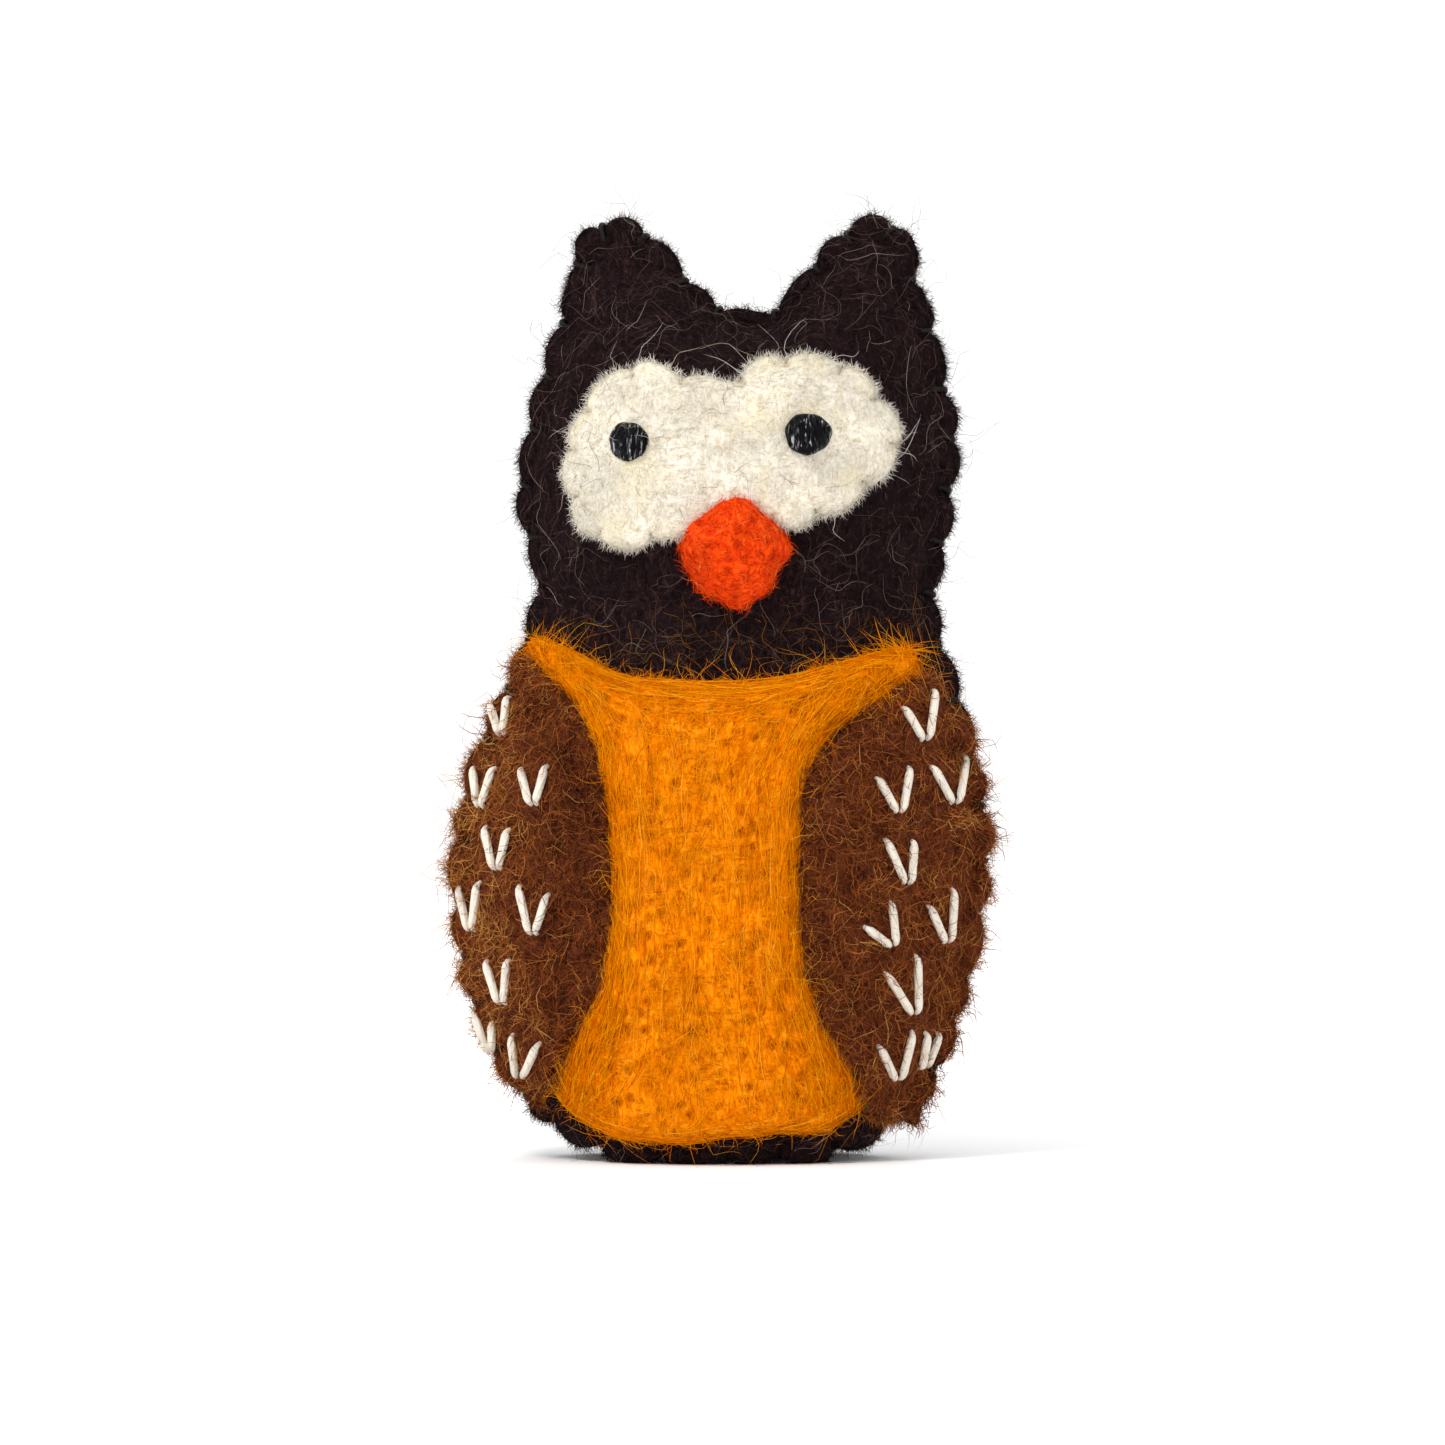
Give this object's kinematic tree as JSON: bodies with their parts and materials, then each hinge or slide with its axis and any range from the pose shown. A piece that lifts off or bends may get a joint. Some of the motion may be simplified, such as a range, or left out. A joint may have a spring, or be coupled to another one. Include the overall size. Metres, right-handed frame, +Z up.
{
  "type": "finger puppet",
  "caption": "Felt owl finger puppet: sewn front and back panels, wings with V stitches, needle-felted bib and beak, cream mask, a stuffed head that nods at the neck.",
  "frame": {"origin": "middle of the finger socket's mouth, in the plane of the side seams and of the hem", "axes": "+Z up the finger to the ears, -Y out of the face, +X to the puppet's own left, which is the viewer's right"},
  "size_m": [0.053, 0.0276, 0.0896],
  "materials": {
    "dark_brown_felt": "matt wool felt with a short nap",
    "mid_brown_felt": "matt wool felt, coarse curly fibres",
    "cream_felt": "matt wool felt",
    "yellow_orange_wool": "needle-felted combed wool",
    "orange_red_wool": "needle-felted wool",
    "dark_thread": "matt sewing thread",
    "cream_thread": "stranded cotton",
    "black_thread": "cotton with a slight sheen",
    "stuffing_wool": "loose wool"
  },
  "bodies": {
    "torso": {"torso_front": "dark_brown_felt", "torso_back": "dark_brown_felt", "neck_front": "dark_brown_felt", "neck_back": "dark_brown_felt", "wing_left": "mid_brown_felt", "wing_right": "mid_brown_felt", "bib": "yellow_orange_wool", "seam_thread_left": "dark_thread", "seam_thread_right": "dark_thread", "feather_stitch_left_1": "cream_thread", "feather_stitch_left_2": "cream_thread", "feather_stitch_left_3": "cream_thread", "feather_stitch_left_4": "cream_thread", "feather_stitch_left_5": "cream_thread", "feather_stitch_left_6": "cream_thread", "feather_stitch_left_7": "cream_thread", "feather_stitch_left_8": "cream_thread", "feather_stitch_left_9": "cream_thread", "feather_stitch_right_1": "cream_thread", "feather_stitch_right_2": "cream_thread", "feather_stitch_right_3": "cream_thread", "feather_stitch_right_4": "cream_thread", "feather_stitch_right_5": "cream_thread", "feather_stitch_right_6": "cream_thread", "feather_stitch_right_7": "cream_thread", "feather_stitch_right_8": "cream_thread", "feather_stitch_right_9": "cream_thread"},
    "head": {"head_front": "dark_brown_felt", "head_back": "dark_brown_felt", "head_stuffing": "stuffing_wool", "face_mask": "cream_felt", "eye_left": "black_thread", "eye_right": "black_thread", "beak": "orange_red_wool", "seam_thread_head": "dark_thread"}
  },
  "joints": [
    {"name": "head_nod", "type": "hinge", "parent": "torso", "child": "head", "pos_m": [0, 0, 0.0528], "axis": [1, 0, 0], "range_deg": [-15, 10], "stiffness_Nm_per_rad": 0.02, "deforming": ["neck_front", "neck_back"]}
  ]
}
